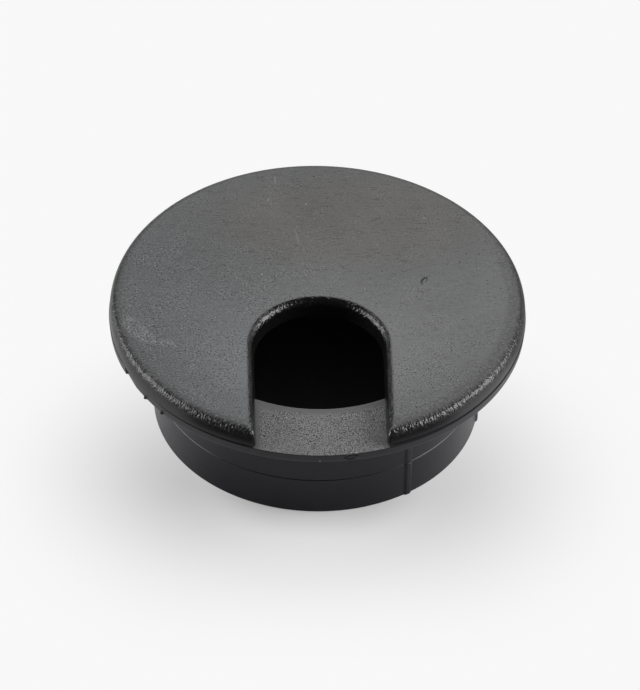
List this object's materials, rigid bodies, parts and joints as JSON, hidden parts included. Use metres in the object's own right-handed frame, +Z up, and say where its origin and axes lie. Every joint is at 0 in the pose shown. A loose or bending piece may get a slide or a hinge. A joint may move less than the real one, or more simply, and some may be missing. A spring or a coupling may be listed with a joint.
{
  "type": "cable grommet",
  "caption": "Round desk-top cable grommet in black plastic: a flanged liner for a panel hole, with a snap-in cap that turns to aim its round-ended cable slot.",
  "frame": {"origin": "on the barrel's axis, in the plane of the flange's underside, which lies on the desk top", "axes": "+Z up along the barrel's axis, out of the desk top; -Y the way the cable slot opens at rest; +X to the right for someone facing the slot's mouth"},
  "size_m": [0.0476, 0.0476, 0.0159],
  "materials": {
    "liner_plastic": "satin moulded black",
    "cap_plastic": "grained moulded black"
  },
  "bodies": {
    "liner": {"liner": "liner_plastic"},
    "cap": {"cap": "cap_plastic"}
  },
  "joints": [
    {"name": "cap_turn", "type": "hinge", "parent": "liner", "child": "cap", "pos_m": [0, 0, 0], "axis": [0, 0, 1], "continuous": true}
  ]
}
